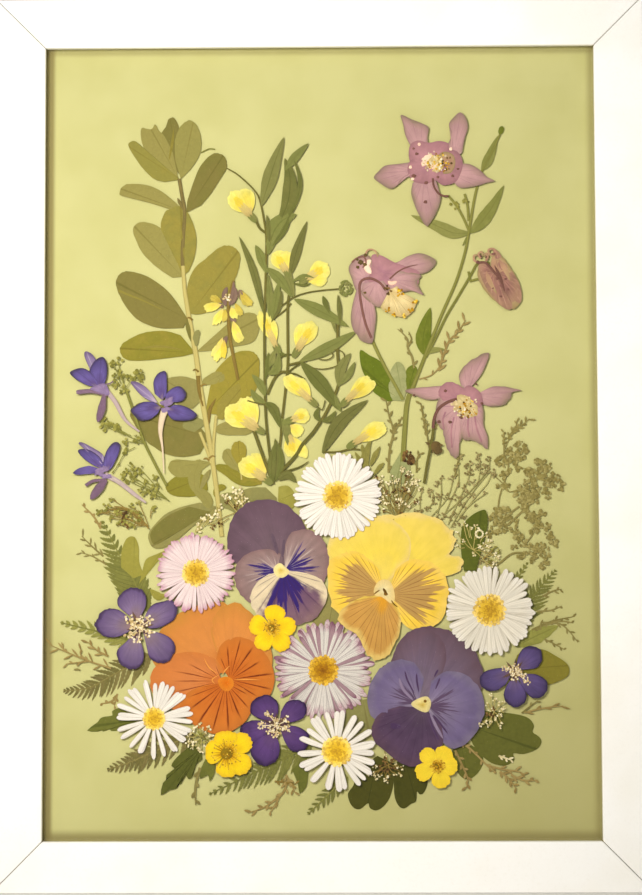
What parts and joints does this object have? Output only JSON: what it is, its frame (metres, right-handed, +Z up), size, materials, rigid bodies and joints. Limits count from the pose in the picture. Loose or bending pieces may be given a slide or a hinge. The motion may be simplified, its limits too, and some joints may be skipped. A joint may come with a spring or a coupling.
{
  "type": "pressed flower frame",
  "caption": "Slim white mitred picture frame holding dried pressed flowers, leaves and stems on a pale green card behind glass, with a toothed wall hanger on its hardboard back.",
  "frame": {"origin": "middle of the top rail's rear face, which lies against the wall", "axes": "+X to the right as seen from the front, +Y back into the wall, +Z up along the tall side"},
  "size_m": [0.236, 0.015, 0.323],
  "materials": {
    "white_paint": "satin",
    "steel": "satin",
    "glass": "gloss",
    "card": "matte",
    "hardboard": "matte",
    "ivory_petals": "matte",
    "faded_petals": "matte",
    "mauve_petals": "matte",
    "yellow_petals": "matte",
    "orange_petals": "matte",
    "violet_petals": "matte",
    "pink_petals": "matte",
    "olive_leaves": "matte",
    "green_leaves": "matte"
  },
  "bodies": {
    "root": {"back_board": "hardboard", "blue_flower_left": "violet_petals", "blue_flower_middle": "violet_petals", "blue_flower_right": "violet_petals", "brown_sprig_left": "olive_leaves", "buttercup_left": "yellow_petals", "buttercup_middle": "yellow_petals", "buttercup_right": "yellow_petals", "card": "card", "columbine_closed": "pink_petals", "columbine_low": "pink_petals", "columbine_nodding": "pink_petals", "columbine_open": "pink_petals", "columbine_stem": "green_leaves", "daisy_broad": "ivory_petals", "daisy_faded": "faded_petals", "daisy_pink": "faded_petals", "daisy_slender": "ivory_petals", "daisy_white_right": "ivory_petals", "daisy_white_top": "ivory_petals", "drooping_spray": "olive_leaves", "fern_bottom": "green_leaves", "fern_left_dark": "olive_leaves", "fern_left_pale": "olive_leaves", "fern_left_upper": "green_leaves", "fern_low_left": "olive_leaves", "fern_right": "green_leaves", "glass_pane": "glass", "green_umbel": "green_leaves", "hanger": "steel", "hanger_nail_left": "steel", "hanger_nail_right": "steel", "jagged_leaf_left": "green_leaves", "jagged_leaf_low": "green_leaves", "larkspur_high": "violet_petals", "larkspur_low": "violet_petals", "larkspur_right": "violet_petals", "leafy_branch": "olive_leaves", "lobed_leaf_low": "green_leaves", "lobed_leaf_right": "green_leaves", "olive_umbel": "olive_leaves", "pansy_mauve": "mauve_petals", "pansy_orange": "orange_petals", "pansy_violet": "mauve_petals", "pansy_yellow": "yellow_petals", "rail_bottom": "white_paint", "rail_left": "white_paint", "rail_right": "white_paint", "rail_top": "white_paint", "round_leaf_right": "olive_leaves", "tab_bottom": "steel", "tab_left": "steel", "tab_right": "steel", "tab_top": "steel", "vetchling_left": "green_leaves", "vetchling_middle": "green_leaves", "vetchling_right": "green_leaves", "white_florets_left": "ivory_petals", "white_florets_middle": "ivory_petals", "white_florets_right": "ivory_petals"}
  },
  "joints": []
}
